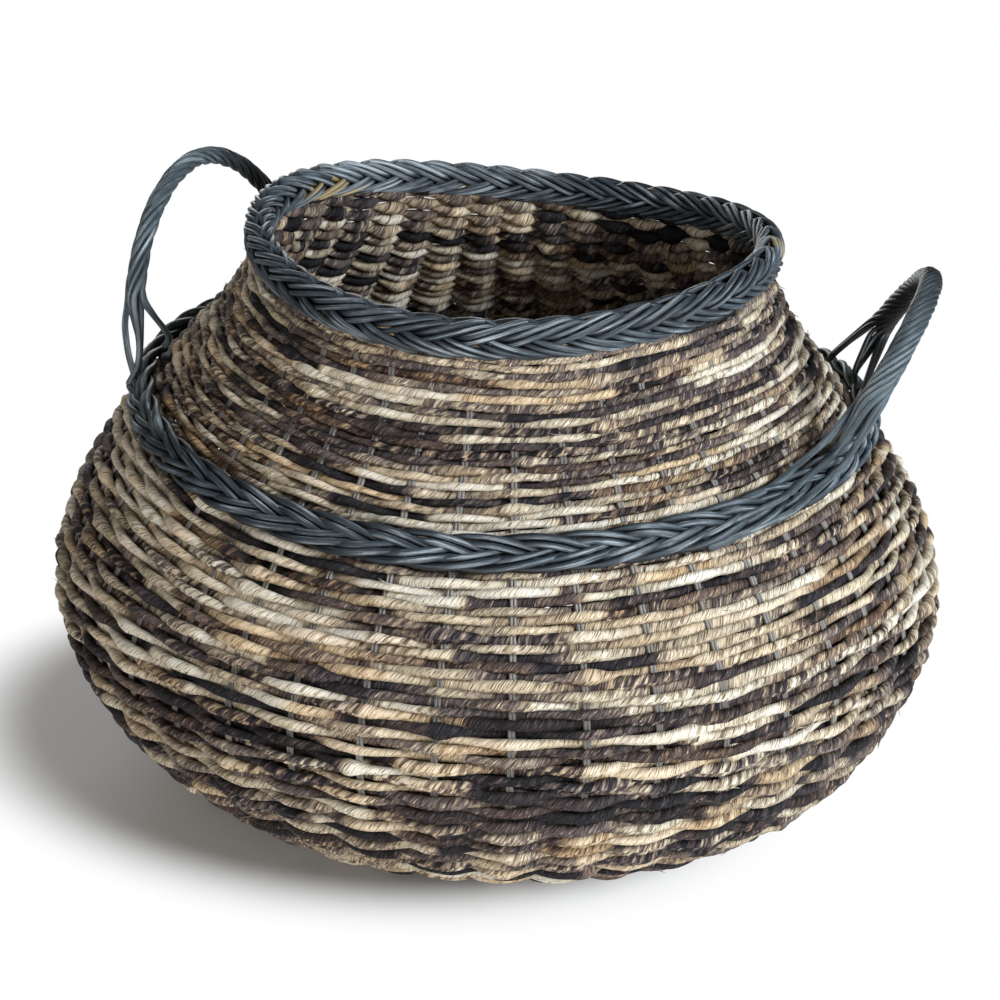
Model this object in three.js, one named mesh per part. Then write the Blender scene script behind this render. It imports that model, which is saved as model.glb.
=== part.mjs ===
// A round, pot-bellied basket: leaf cord woven over stakes, a plaited rim, a plaited shoulder band
// and two twisted loop handles. Millimetres, +Z up, origin on the floor under the middle of the base,
// handles toward +X and -X.
import * as THREE from "three";

// Body, measured to the outer face of the weave
const BASE_RADIUS = 145;
const BASE_FLARE = 9; // degrees by which the wall leaves the floor
const BASE_ROUNDING = 31;
const BELLY_RADIUS = 260;
const BELLY_HEIGHT = 130;
const BELLY_ROUNDING_BELOW = 70;
const BELLY_ROUNDING_ABOVE = 66;
const MOUTH_RADIUS = 149;
const MOUTH_HEIGHT = 312;
const MOUTH_LEAN = 6; // degrees by which the wall leans in at the mouth
const MOUTH_ROUNDING = 47;
const SADDLE_RISE = 7.4; // the mouth rises toward the handles and dips between them
const MOUTH_DIP = 4.3; // the mouth also settles a little to one side
const MOUTH_DIP_TOWARD = -44; // degrees from +X of its lowest side

// Weave and stakes
const WEAVE_THICKNESS = 5;
const STAKE_COUNT = 43;
const STAKE_START = 4.5; // degrees from +X of the first stake
const STAKE_WIDTH = 4;
const STAKE_THICKNESS = 3.7;
const STAKE_GAP_AT_HEART = 1;
const SEAT = 0.3; // clearance between pieces that lie on each other

// Rim plait
const RIM_WIDTH = 18;
const RIM_STRAND_WIDTH = 5.9;
const RIM_STRAND_THICKNESS = 5.6;
const RIM_WEAVE_DEPTH = 3.9; // how far a strand swings out and in as it passes over and under

// Shoulder band
const BAND_HEIGHT = 230;
const BAND_WIDTH = 20;
const BAND_STRAND_WIDTH = 6.5;
const BAND_STRAND_THICKNESS = 4.2;
const BAND_WEAVE_DEPTH = 2.9;

// Handles
const HANDLE_STRAND = 5.4;
const HANDLE_STRAND_GAP = 0.5; // between strands, so that facets stay clear through the twist
const HANDLE_TURNS = 2;
const HANDLE_STAND_OFF = 12; // rope axis to wall at the feet
const HANDLE_FOOT_DROP = 2.5; // foot below the top edge of the band
const HANDLE_TAIL_RISE = 6; // height above the band at which the tails come down to the wall
const HANDLE_TAIL_SEAT = 0.9; // tail to wall, so that straight facets clear the round of the wall
const HANDLE_SPLAY = 0.6; // share by which the strands open at the feet
const HANDLE_SPLAY_POWER = 6; // how late the strands open as they near the feet
const HANDLE_FREE_SHARE = 0.04; // share of the arch at each foot that is left to the tails

// Middle of each handle in degrees from +X, and its loop
const RIGHT_HANDLE = { middle: 6, halfSpan: 72, rise: 78, reach: 20, fullness: 1.8 };
const LEFT_HANDLE = { middle: 174, halfSpan: 97, rise: 98, reach: -9, fullness: 1.85 };

// Splayed strand ends at each handle foot: distance along the wall, away from the loop, and height
// of the end above the top edge of the band
const HANDLE_TAILS = [
  { along: 14, above: 4.5 },
  { along: -18, above: 7 },
  { along: 46, above: 4.5 },
];

// Fineness of the facets
const WALL_POINTS = 12;
const PLAIT_STEPS = 6;
const PLAIT_SIDES = 4;
const HANDLE_STEPS = 28;
const HANDLE_SIDES = 5;
const HANDLE_STATIONS = 24;
const HEIGHT_HALVINGS = 40;

const STRANDS = 3;
const PLAIT_PERIODS = Math.round(STAKE_COUNT / STRANDS);
const STAKE_OUTSIDE = WEAVE_THICKNESS + SEAT;
const STAKE_INSIDE = STAKE_OUTSIDE + STAKE_THICKNESS;
const LINING_OUTSIDE = STAKE_INSIDE + SEAT;
const WALL_THICKNESS = LINING_OUTSIDE + WEAVE_THICKNESS;
const HEART_RADIUS = (STAKE_COUNT * (STAKE_WIDTH + STAKE_GAP_AT_HEART)) / (2 * Math.PI);

const weaveLook = new THREE.MeshStandardMaterial({ color: "#927853", roughness: 0.9, metalness: 0 });
const stakeLook = new THREE.MeshStandardMaterial({ color: "#63656a", roughness: 0.8, metalness: 0 });
const plaitLook = new THREE.MeshStandardMaterial({ color: "#3d444c", roughness: 0.75, metalness: 0 });
const handleLook = new THREE.MeshStandardMaterial({ color: "#434b54", roughness: 0.7, metalness: 0 });

const radians = THREE.MathUtils.degToRad;

// Outer face of the weave in the (radius, height) plane, from the edge of the base to the mouth
const outerFace = new THREE.Path();
outerFace.moveTo(BASE_RADIUS, 0);
outerFace.bezierCurveTo(
  BASE_RADIUS + BASE_ROUNDING * Math.cos(radians(BASE_FLARE)),
  BASE_ROUNDING * Math.sin(radians(BASE_FLARE)),
  BELLY_RADIUS,
  BELLY_HEIGHT - BELLY_ROUNDING_BELOW,
  BELLY_RADIUS,
  BELLY_HEIGHT,
);
outerFace.bezierCurveTo(
  BELLY_RADIUS,
  BELLY_HEIGHT + BELLY_ROUNDING_ABOVE,
  MOUTH_RADIUS + MOUTH_ROUNDING * Math.sin(radians(MOUTH_LEAN)),
  MOUTH_HEIGHT - MOUTH_ROUNDING * Math.cos(radians(MOUTH_LEAN)),
  MOUTH_RADIUS,
  MOUTH_HEIGHT,
);

// Height that the saddle and the dip add at a given height and angle: none up to the belly, all from the
// band up
function saddleLift(height, angle) {
  const dip = MOUTH_DIP * Math.cos(angle - radians(MOUTH_DIP_TOWARD));
  const lift = SADDLE_RISE * Math.cos(2 * angle) - dip;
  return lift * THREE.MathUtils.smoothstep(height, BELLY_HEIGHT, BAND_HEIGHT);
}

// A line that runs a given depth inside the outer face, ending level with the mouth
function lineInside(depth) {
  const points = [];
  for (let i = 0; i < WALL_POINTS; i += 1) {
    const place = i / (WALL_POINTS - 1);
    const point = outerFace.getPointAt(place);
    const along = outerFace.getTangentAt(place);
    points.push(new THREE.Vector2(point.x - along.y * depth, point.y + along.x * depth));
  }
  const end = points[WALL_POINTS - 1];
  const rest = MOUTH_HEIGHT - end.y;
  end.set(end.x - rest * Math.tan(radians(MOUTH_LEAN)), MOUTH_HEIGHT);
  return points;
}

// Place on the outer face at a given height: radius, and the direction along the wall and out of it
function wallAt(height) {
  let low = 0;
  let high = 1;
  for (let i = 0; i < HEIGHT_HALVINGS; i += 1) {
    const middle = (low + high) / 2;
    if (outerFace.getPointAt(middle).y < height) low = middle;
    else high = middle;
  }
  const along = outerFace.getTangentAt(low);
  return { radius: outerFace.getPointAt(low).x, along, out: new THREE.Vector2(along.y, -along.x) };
}

// Point in space from radius, height before the saddle, and angle
function settle(radius, height, angle, liftedAs = height) {
  return new THREE.Vector3(
    radius * Math.cos(angle),
    radius * Math.sin(angle),
    height + saddleLift(liftedAs, angle),
  );
}

// Point a given distance off the outer face
function pointOffWall(height, angle, distance) {
  const wall = wallAt(height);
  return settle(wall.radius + wall.out.x * distance, height + wall.out.y * distance, angle, height);
}

function piece(name, geometry, look) {
  const mesh = new THREE.Mesh(geometry, look);
  mesh.name = name;
  return mesh;
}

// Bowl between two depths inside the outer face, with a facet edge at every stake
function bowl(outside, inside) {
  const outer = lineInside(outside);
  const inner = lineInside(inside).reverse();
  const profile = [new THREE.Vector2(0, outside), ...outer, ...inner, new THREE.Vector2(0, inside)];
  const start = Math.PI / 2 + radians(STAKE_START);
  const geometry = new THREE.LatheGeometry(profile, STAKE_COUNT, start).rotateX(Math.PI / 2);
  const place = geometry.attributes.position;
  for (let i = 0; i < place.count; i += 1) {
    const angle = Math.atan2(place.getY(i), place.getX(i));
    place.setZ(i, place.getZ(i) + saddleLift(place.getZ(i), angle));
  }
  return geometry;
}

// One stake, flat and bent to the wall, in its own radial plane
function stake(angle) {
  const start = HEART_RADIUS + SEAT;
  const outer = [new THREE.Vector2(start, STAKE_OUTSIDE), ...lineInside(STAKE_OUTSIDE)];
  const inner = [new THREE.Vector2(start, STAKE_INSIDE), ...lineInside(STAKE_INSIDE)].reverse();
  const outline = [...outer, ...inner];
  outline.forEach((point) => point.setY(point.y + saddleLift(point.y, angle)));
  const geometry = new THREE.ExtrudeGeometry(new THREE.Shape(outline), {
    depth: STAKE_WIDTH,
    bevelEnabled: false,
  });
  return geometry.translate(0, 0, -STAKE_WIDTH / 2).rotateX(Math.PI / 2);
}

// One strand of a flat three-strand plait that runs round the basket: a flattened section lofted along
// a wave across the plait that goes out and in twice as fast, with a ring of points on every crossing
function plaitStrand(lie, form, phase) {
  const rings = PLAIT_PERIODS * PLAIT_STEPS;
  const swing = (form.width - form.strandWidth) / 2;
  const points = [];
  const faces = [];
  for (let i = 0; i < rings; i += 1) {
    const angle = (i * 2 * Math.PI) / rings;
    const beat = PLAIT_PERIODS * angle + phase;
    for (let j = 0; j < PLAIT_SIDES; j += 1) {
      const turn = (j * 2 * Math.PI) / PLAIT_SIDES;
      const sideways = swing * Math.sin(beat) + (form.strandWidth / 2) * Math.cos(turn);
      const outward = form.weaveDepth * Math.sin(2 * beat) + (form.strandThickness / 2) * Math.sin(turn);
      const radius = lie.centre.x + lie.across.x * sideways + lie.out.x * outward;
      const height = lie.centre.y + lie.across.y * sideways + lie.out.y * outward;
      points.push(settle(radius, height, angle, lie.centre.y));
      const next = (j + 1) % PLAIT_SIDES;
      const here = i * PLAIT_SIDES;
      const there = ((i + 1) % rings) * PLAIT_SIDES;
      faces.push(here + j, there + next, there + j, here + j, here + next, there + next);
    }
  }
  const geometry = new THREE.BufferGeometry().setFromPoints(points);
  geometry.setIndex(faces);
  geometry.computeVertexNormals();
  return geometry;
}

function plait(name, lie, form) {
  const group = new THREE.Group();
  for (let i = 0; i < STRANDS; i += 1) {
    const phase = Math.PI / PLAIT_STEPS + (i * 2 * Math.PI) / STRANDS;
    group.add(piece(`${name}_strand_${i + 1}`, plaitStrand(lie, form, phase), plaitLook));
  }
  return group;
}

// The rim plait stands on edge along the top of the wall
function rimPlait() {
  const topInside = lineInside(WALL_THICKNESS)[WALL_POINTS - 1].x;
  const lie = {
    centre: new THREE.Vector2((MOUTH_RADIUS + topInside) / 2, MOUTH_HEIGHT + SEAT + RIM_WIDTH / 2),
    across: new THREE.Vector2(0, 1),
    out: new THREE.Vector2(1, 0),
  };
  return plait("rim", lie, {
    width: RIM_WIDTH,
    strandWidth: RIM_STRAND_WIDTH,
    strandThickness: RIM_STRAND_THICKNESS,
    weaveDepth: RIM_WEAVE_DEPTH,
  });
}

const bandWall = wallAt(BAND_HEIGHT);
const BAND_TOP = BAND_HEIGHT + (bandWall.along.y * BAND_WIDTH) / 2;

// The shoulder band lies flat on the outside of the wall
function bandPlait() {
  const deepest = BAND_WEAVE_DEPTH * Math.sin((2 * Math.PI) / PLAIT_STEPS);
  const standOff = SEAT + deepest + BAND_STRAND_THICKNESS / 2;
  const lie = {
    centre: new THREE.Vector2(bandWall.radius, BAND_HEIGHT).addScaledVector(bandWall.out, standOff),
    across: bandWall.along,
    out: bandWall.out,
  };
  return plait("band", lie, {
    width: BAND_WIDTH,
    strandWidth: BAND_STRAND_WIDTH,
    strandThickness: BAND_STRAND_THICKNESS,
    weaveDepth: BAND_WEAVE_DEPTH,
  });
}

// One twisted handle: three strands round an arch that stands on the shoulder, each ending in a tail
// that lies on the wall above the band
function handle(name, loop) {
  const middle = radians(loop.middle);
  const footHeight = BAND_TOP - HANDLE_FOOT_DROP;
  const footRadius = wallAt(footHeight).radius + HANDLE_STAND_OFF;
  const halfAngle = Math.asin(loop.halfSpan / footRadius);
  const feet = [-1, 1].map((side) => pointOffWall(footHeight, middle + side * halfAngle, HANDLE_STAND_OFF));
  const centre = feet[0].clone().add(feet[1]).divideScalar(2);
  const apex = settle(footRadius + loop.reach, footHeight, middle);
  apex.z += loop.rise;
  const toFoot = feet[0].clone().sub(centre);
  const toApex = apex.clone().sub(centre);
  const outward = toApex.clone().cross(toFoot).normalize();

  const arch = (share) => {
    const turn = Math.PI * share;
    const flat = 2 / loop.fullness;
    const along = Math.sign(Math.cos(turn)) * Math.abs(Math.cos(turn)) ** flat;
    const up = Math.abs(Math.sin(turn)) ** flat;
    return centre.clone().addScaledVector(toFoot, along).addScaledVector(toApex, up);
  };

  // Tail from where it comes down to the wall, half way out, to its end
  const tail = (side, end) =>
    [0.5, 1].map((share) => {
      const angle = middle + side * (halfAngle + (share * end.along) / footRadius);
      const above = THREE.MathUtils.lerp(HANDLE_TAIL_RISE, end.above, share);
      return pointOffWall(BAND_TOP + above, angle, HANDLE_STRAND / 2 + HANDLE_TAIL_SEAT);
    });

  const group = new THREE.Group();
  const section = new THREE.Shape(
    Array.from({ length: HANDLE_SIDES }, (_, i) => {
      const turn = (i * 2 * Math.PI) / HANDLE_SIDES;
      return new THREE.Vector2(Math.cos(turn), Math.sin(turn)).multiplyScalar(HANDLE_STRAND / 2);
    }),
  );
  const ring = (HANDLE_STRAND + HANDLE_STRAND_GAP) / Math.sqrt(3);
  const near = 1 / (4 * HANDLE_STATIONS);
  for (let i = 0; i < STRANDS; i += 1) {
    const points = tail(-1, HANDLE_TAILS[i]).reverse();
    for (let j = 0; j <= HANDLE_STATIONS; j += 1) {
      const done = j / HANDLE_STATIONS;
      const share = THREE.MathUtils.lerp(HANDLE_FREE_SHARE, 1 - HANDLE_FREE_SHARE, done);
      const along = arch(share + near).sub(arch(share - near)).normalize();
      const side = outward.clone().cross(along);
      const turn = 2 * Math.PI * (1 / 4 + i / STRANDS + HANDLE_TURNS * done);
      const open = ring * (1 + HANDLE_SPLAY * Math.abs(2 * done - 1) ** HANDLE_SPLAY_POWER);
      const point = arch(share).addScaledVector(side, open * Math.cos(turn));
      points.push(point.addScaledVector(outward, open * Math.sin(turn)));
    }
    points.push(...tail(1, HANDLE_TAILS[i]));
    const extrudePath = new THREE.CatmullRomCurve3(points);
    const geometry = new THREE.ExtrudeGeometry(section, { steps: HANDLE_STEPS, extrudePath });
    group.add(piece(`${name}_strand_${i + 1}`, geometry, handleLook));
  }
  return group;
}

const basket = new THREE.Group();
basket.add(piece("outer_weave", bowl(0, WEAVE_THICKNESS), weaveLook));
basket.add(piece("inner_weave", bowl(LINING_OUTSIDE, WALL_THICKNESS), weaveLook));

const heart = new THREE.CylinderGeometry(HEART_RADIUS, HEART_RADIUS, STAKE_THICKNESS, STAKE_COUNT);
const heartPiece = piece("base_heart", heart.rotateX(Math.PI / 2), stakeLook);
heartPiece.position.z = (STAKE_OUTSIDE + STAKE_INSIDE) / 2;
basket.add(heartPiece);

for (let i = 0; i < STAKE_COUNT; i += 1) {
  const angle = radians(STAKE_START) + (i * 2 * Math.PI) / STAKE_COUNT;
  const upright = piece(`stake_${String(i + 1).padStart(2, "0")}`, stake(angle), stakeLook);
  upright.rotation.z = angle;
  basket.add(upright);
}

basket.add(rimPlait());
basket.add(bandPlait());
basket.add(handle("right_handle", RIGHT_HANDLE));
basket.add(handle("left_handle", LEFT_HANDLE));

export default basket;
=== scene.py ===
# A round pot-bellied basket: one long leaf cord woven in and out of stakes of paired rods, a thick plaited
# rim, a flat plaited band on the shoulder and two twisted loop handles. Sizes are in millimetres until a
# mesh is made; the frame, every mesh, the floor, the lamps and the camera are in metres.
import math

import bmesh
import bpy
import numpy as np
from mathutils import Matrix, Vector
from mathutils.geometry import interpolate_bezier


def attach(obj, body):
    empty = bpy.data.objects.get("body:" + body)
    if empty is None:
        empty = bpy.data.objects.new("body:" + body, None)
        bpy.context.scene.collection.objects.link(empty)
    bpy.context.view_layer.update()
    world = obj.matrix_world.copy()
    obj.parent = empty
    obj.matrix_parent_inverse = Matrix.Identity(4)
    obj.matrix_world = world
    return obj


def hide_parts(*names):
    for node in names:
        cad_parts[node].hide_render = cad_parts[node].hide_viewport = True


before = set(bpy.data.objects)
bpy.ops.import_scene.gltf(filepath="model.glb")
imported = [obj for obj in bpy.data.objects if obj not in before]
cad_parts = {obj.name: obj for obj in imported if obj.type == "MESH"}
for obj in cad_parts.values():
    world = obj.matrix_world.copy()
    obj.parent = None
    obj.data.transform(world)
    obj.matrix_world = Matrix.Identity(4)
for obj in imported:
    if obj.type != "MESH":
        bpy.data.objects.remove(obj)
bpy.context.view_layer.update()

MM = 0.001
TURN = 2 * math.pi

# Body, measured to the outer face of the weave
BASE_RADIUS = 145
BASE_FLARE = 9  # degrees by which the wall leaves the floor
BASE_ROUNDING = 31
BELLY_RADIUS = 260
BELLY_HEIGHT = 130
BELLY_ROUNDING_BELOW = 70
BELLY_ROUNDING_ABOVE = 66
MOUTH_RADIUS = 149
MOUTH_HEIGHT = 312
MOUTH_LEAN = 6  # degrees by which the wall leans in at the mouth
MOUTH_ROUNDING = 47
SADDLE_RISE = 7.4  # the mouth rises toward the handles and dips between them
MOUTH_DIP = 4.3  # the mouth also settles a little to one side
MOUTH_DIP_TOWARD = math.radians(-44)
MOUTH_ASIDE = 3  # how far the mouth stands toward the right-hand handle
SAG = 8  # fullness of the lower belly at its right front
SAG_TOWARD = math.radians(-28)
SAG_WIDTH = math.radians(38)
SAG_HEIGHT = 45
SAG_REACH = 35  # up and down the wall
RIM_TUCK = 8  # how far the weave and the stakes run up inside the rim
BAND_HEIGHT = 230

# Stakes
STAKE_COUNT = 43
STAKE_START = math.radians(4.5)  # angle of the first stake
HEART_RADIUS = 34
STAKE_ROD_RADIUS = 1.05
STAKE_ROD_SPREAD = 0.85  # half the distance between the two rods of a stake
STAKE_DEPTH = 5.2  # middle of the wall, below the outer face

# Leaf cord
# How far the cord lies outside or inside the stakes at heights up the wall, as a share of the row pitch
SWING_HEIGHTS = (180, 235, 262, 282)
SWINGS = (0.64, 0.74, 0.62, 0.45)
INSIDE_FURTHER = 1.45  # fat floats inside lie that much further from the stakes than those outside
# Radius of the soft cord as a share of the row pitch: midway between two stakes, where it crosses a stake
# outside, and where it crosses one inside. The lower belly, which carries the load, has the fullest cord.
BETWEEN_HEIGHTS = (3, 12, 60, 105)
CORD_BETWEENS = (0.475, 0.58, 0.58, 0.475)
CORD_OUTSIDE = 0.545
INSIDE_HEIGHTS = (85, 120)
CORD_INSIDES = (1.2, 0.9)
NECK_HEIGHTS = (255, 280)
NECK_FULLER = 1.12  # the rows are packed tighter at the neck
SWING_UNEVENNESS = 0.12
SWING_DRIFT = 50  # length of cord over which the swing changes
ROW_STRAY = 0.5  # how far the cord strays up or down from its row
ROW_STRAY_DRIFT = 38
SWELLS = ((0.14, 18), (0.16, 75))  # share by which the cord swells or thins, and over what length
INSIDE_SHADE = 0.13  # painted shade: the floats inside the basket are darkened, which also darkens the gaps seen between the rows
BETWEEN_SHADE = 0.4  # light left on the cord midway between two stakes, where the rows press together
BASE_LIFT = 1.8  # the base is pressed flat, so its cord lies deeper
BASE_SWELL = 0.35  # share of the cord's swelling that is left in the pressed base
BASE_TOP = 12  # height at which the pressed base begins to give way to the wall
BASE_EASE = 40  # distance up the wall over which it does
STEPS_PER_GAP = 12  # from one stake to the next
CORD_SIDES = 8
CORD_TILT = math.radians(135)  # turn of the cord's drawn section about its own axis
BASE_GROUP = 3  # stakes that are taken together near the heart
BASE_SPLIT_RADIUS = 92

# Row pitch at heights up the wall
PITCH_HEIGHTS = (0, 20, 90, 190, 225, 240, 312)
PITCHES = (5.2, 5.5, 5.3, 5.2, 4.6, 4.0, 3.9)

rng = np.random.default_rng(45)


# Wall of the basket

CURVE_POINTS = 200  # on each of the wall's two curves


def wall_line():
    """Outer face from the heart of the base into the rim, as radius and height at every millimetre"""
    flare = math.radians(BASE_FLARE)
    lean = math.radians(MOUTH_LEAN)
    edge = Vector((BASE_RADIUS, 0))
    belly = Vector((BELLY_RADIUS, BELLY_HEIGHT))
    mouth = Vector((MOUTH_RADIUS, MOUTH_HEIGHT))
    edge_pull = edge + BASE_ROUNDING * Vector((math.cos(flare), math.sin(flare)))
    mouth_pull = mouth + MOUTH_ROUNDING * Vector((math.sin(lean), -math.cos(lean)))
    below = belly - Vector((0, BELLY_ROUNDING_BELOW))
    above = belly + Vector((0, BELLY_ROUNDING_ABOVE))
    flank = interpolate_bezier(edge, edge_pull, below, belly, CURVE_POINTS)
    shoulder = interpolate_bezier(belly, above, mouth_pull, mouth, CURVE_POINTS)
    tuck = mouth + RIM_TUCK * Vector((-math.sin(lean), math.cos(lean)))
    line = np.array([(HEART_RADIUS, 0), *flank, *shoulder[1:], tuck])
    lengths = np.hypot(*np.diff(line, axis=0).T)
    along = np.concatenate([[0], np.cumsum(lengths)])
    even = np.linspace(0, along[-1], int(along[-1]))
    return even, np.interp(even, along, line[:, 0]), np.interp(even, along, line[:, 1])


WALL_ALONG, WALL_RADIUS, WALL_HEIGHT = wall_line()
WALL_LENGTH = WALL_ALONG[-1]
WALL_UP_R = np.gradient(WALL_RADIUS, WALL_ALONG)
WALL_UP_Z = np.gradient(WALL_HEIGHT, WALL_ALONG)


def on_wall(along):
    """Radius and height at a distance along the wall, and the wall's own up direction there"""
    courses = (WALL_RADIUS, WALL_HEIGHT, WALL_UP_R, WALL_UP_Z)
    return [np.interp(along, WALL_ALONG, course) for course in courses]


def along_at(height):
    """Distance along the wall at a height"""
    return np.interp(height, WALL_HEIGHT[WALL_HEIGHT > 0], WALL_ALONG[WALL_HEIGHT > 0])


def saddle_lift(height, angle):
    """Height that the saddle and the dip add: none up to the belly, all of it from the band up"""
    rise = np.clip((height - BELLY_HEIGHT) / (BAND_HEIGHT - BELLY_HEIGHT), 0, 1)
    lift = SADDLE_RISE * np.cos(2 * angle) - MOUTH_DIP * np.cos(angle - MOUTH_DIP_TOWARD)
    return lift * rise * rise * (3 - 2 * rise)


def unevenness(height, angle):
    """How far the hand-made wall stands out from a true round"""
    rise = np.clip((height - BAND_HEIGHT) / (MOUTH_HEIGHT - BAND_HEIGHT), 0, 1)
    turned = np.mod(angle - SAG_TOWARD + math.pi, TURN) - math.pi
    sag = SAG * np.exp(-(turned / SAG_WIDTH) ** 2 - ((height - SAG_HEIGHT) / SAG_REACH) ** 2)
    return MOUTH_ASIDE * rise * np.cos(angle) + sag


def spread(radius, angle, height):
    """Points in space from radius, angle and height"""
    return np.stack(np.broadcast_arrays(radius * np.cos(angle), radius * np.sin(angle), height), axis=-1)


def off_wall(along, angle, distance):
    """Points a distance outside the outer face, and the directions out of the wall and up it"""
    radius, height, up_r, up_z = on_wall(along)
    lift = saddle_lift(height, angle)
    radius = radius + unevenness(height, angle)
    points = spread(radius + up_z * distance, angle, height - up_r * distance + lift)
    return points, spread(up_z, angle, -up_r), spread(up_r, angle, up_z)


def drift(along, spacing):
    """Smooth random course between -1 and 1 along a cord, with one new value per spacing"""
    values = rng.uniform(-1, 1, int(np.max(along) / spacing) + 3)
    place = along / spacing
    left = place.astype(int)
    ease = place - left
    ease = ease * ease * (3 - 2 * ease)
    return values[left] * (1 - ease) + values[left + 1] * ease


def lengths_along(points):
    """Distance run along a line of points"""
    return np.concatenate([[0], np.cumsum(np.linalg.norm(np.diff(points, axis=0), axis=1))])


def unit(vectors):
    return vectors / np.linalg.norm(vectors, axis=-1, keepdims=True)


# Round cords and rods

def tubes(name, courses, sides, twist="Z_UP"):
    """One mesh of round rods. A course holds points and radii, and whether it closes on itself. The UV
    map runs along each rod in metres and once round it."""
    curve = bpy.data.curves.new(name, "CURVE")
    curve.dimensions = "3D"
    curve.bevel_depth = MM
    curve.bevel_resolution = (sides - 4) // 2
    curve.twist_mode = twist
    run = []
    total = []
    for course in courses:
        points = course["points"]
        spline = curve.splines.new("POLY")
        spline.points.add(len(points) - 1)
        spline.points.foreach_set("co", np.c_[points * MM, np.ones(len(points))].ravel())
        spline.points.foreach_set("radius", np.broadcast_to(course["radius"], len(points)))
        spline.points.foreach_set("tilt", np.full(len(points), course.get("tilt", 0.0)))
        spline.use_cyclic_u = course.get("closed", False)
        spline.use_smooth = True
        along = lengths_along(points)
        run.append(along)
        closing = np.linalg.norm(points[0] - points[-1]) if spline.use_cyclic_u else 0
        total.append(np.full(len(points), along[-1] + closing))
    holder = bpy.data.objects.new(name, curve)
    bpy.context.scene.collection.objects.link(holder)
    graph = bpy.context.evaluated_depsgraph_get()
    mesh = bpy.data.meshes.new_from_object(holder.evaluated_get(graph))
    bpy.data.objects.remove(holder)
    bpy.data.curves.remove(curve)
    mesh.name = name
    measure_uv(mesh, np.concatenate(run) * MM, np.concatenate(total) * MM, sides)
    return mesh


def measure_uv(mesh, run, total, sides):
    """Sets the UV map's first value to metres along the rod"""
    layer = mesh.uv_layers[0]
    layer.name = "along"
    uv = np.empty(len(mesh.loops) * 2, np.float32)
    layer.data.foreach_get("uv", uv)
    corner = np.empty(len(mesh.loops), np.int32)
    mesh.loops.foreach_get("vertex_index", corner)
    ring = corner // sides
    closing = (uv[0::2] > 0.999) & (run[ring] == 0)
    uv[0::2] = np.where(closing, total[ring], run[ring])
    layer.data.foreach_set("uv", uv)


def tint(mesh, name, values):
    """Stores up to three values for each vertex as a colour attribute"""
    layer = mesh.attributes.new(name, "FLOAT_COLOR", "POINT")
    data = np.ones((len(mesh.vertices), 4), np.float32)
    for i, value in enumerate(values):
        data[:, i] = value
    layer.data.foreach_set("color", data.ravel())


def tint_crown_shade(mesh, courses, sides):
    """Stores how squarely each side of a rod faces out or in, as against its neighbours, less where the
    course is shaded. The finishes paint shade from it on the sides of rods and cords"""
    place = np.empty(len(mesh.vertices) * 3)
    mesh.vertices.foreach_get("co", place)
    middle = np.concatenate([course["points"] for course in courses])[:, None] * MM
    out = np.concatenate([course["out"] for course in courses])
    facing = np.einsum("ijk,ik->ij", unit(place.reshape(-1, sides, 3) - middle), out)
    shades = [np.broadcast_to(course.get("shade", 1.0), len(course["points"])) for course in courses]
    tint(mesh, "crown_shade", [(np.abs(facing) * np.concatenate(shades)[:, None]).ravel()])


def finish_piece(mesh, look, nodes):
    """Closes the ends of the rods and puts the piece in the scene"""
    shape = bmesh.new()
    shape.from_mesh(mesh)
    bmesh.ops.holes_fill(shape, edges=[edge for edge in shape.edges if edge.is_boundary], sides=0)
    bmesh.ops.recalc_face_normals(shape, faces=shape.faces)
    for face in shape.faces:
        face.smooth = True
    shape.to_mesh(mesh)
    shape.free()
    mesh.materials.clear()
    mesh.materials.append(look)
    piece = bpy.data.objects.new(mesh.name, mesh)
    bpy.context.scene.collection.objects.link(piece)
    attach(piece, "root")
    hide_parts(*nodes)


# Finishes

def node(tree, kind, inputs=None, **settings):
    """Adds a shader node; an input is a socket to join or a value to set"""
    made = tree.nodes.new(kind)
    for key, value in settings.items():
        setattr(made, key, value)
    for key, value in (inputs or {}).items():
        if isinstance(value, bpy.types.NodeSocket):
            tree.links.new(value, made.inputs[key])
        else:
            made.inputs[key].default_value = value
    return made


def new_finish(name):
    finish = bpy.data.materials.new(name)
    finish.use_nodes = True
    tree = finish.node_tree
    return finish, tree, tree.nodes["Principled BSDF"]


def colour(code):
    """Linear colour from a web colour"""
    parts = [int(code[i:i + 2], 16) / 255 for i in (1, 3, 5)]
    return (*[p / 12.92 if p <= 0.04045 else ((p + 0.055) / 1.055) ** 2.4 for p in parts], 1)


def ramp(tree, factor, stops):
    """Colour ramp from pairs of place and web colour"""
    made = node(tree, "ShaderNodeValToRGB", {"Fac": factor})
    elements = made.color_ramp.elements
    while len(elements) < len(stops):
        elements.new(0.5)
    for element, (place, code) in zip(elements, stops):
        element.position = place
        element.color = colour(code)
    return made.outputs["Color"]


def math_node(tree, operation, first, second=0.0, third=0.0):
    return node(tree, "ShaderNodeMath", {0: first, 1: second, 2: third}, operation=operation).outputs[0]


def blend(tree, kind, factor, first, second):
    """Mixes two colours"""
    made = node(tree, "ShaderNodeMix", {"Factor": factor}, data_type="RGBA", blend_type=kind)
    for place, value in ((6, first), (7, second)):
        if isinstance(value, bpy.types.NodeSocket):
            tree.links.new(value, made.inputs[place])
        else:
            made.inputs[place].default_value = value
    return made.outputs[2]


def noise(tree, vector, detail=2.0, roughness=0.5):
    return node(tree, "ShaderNodeTexNoise", {"Vector": vector, "Scale": 1.0, "Detail": detail,
                                             "Roughness": roughness}).outputs["Fac"]


FIBRE_PITCH = 1.35  # distance between fibre lines along the cord
FIBRES_ROUND = 8  # lines that one round of the cord crosses
FIBRE_WOBBLE = 15.0  # how far the lines stray from an even spacing, in radians of one line


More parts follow.
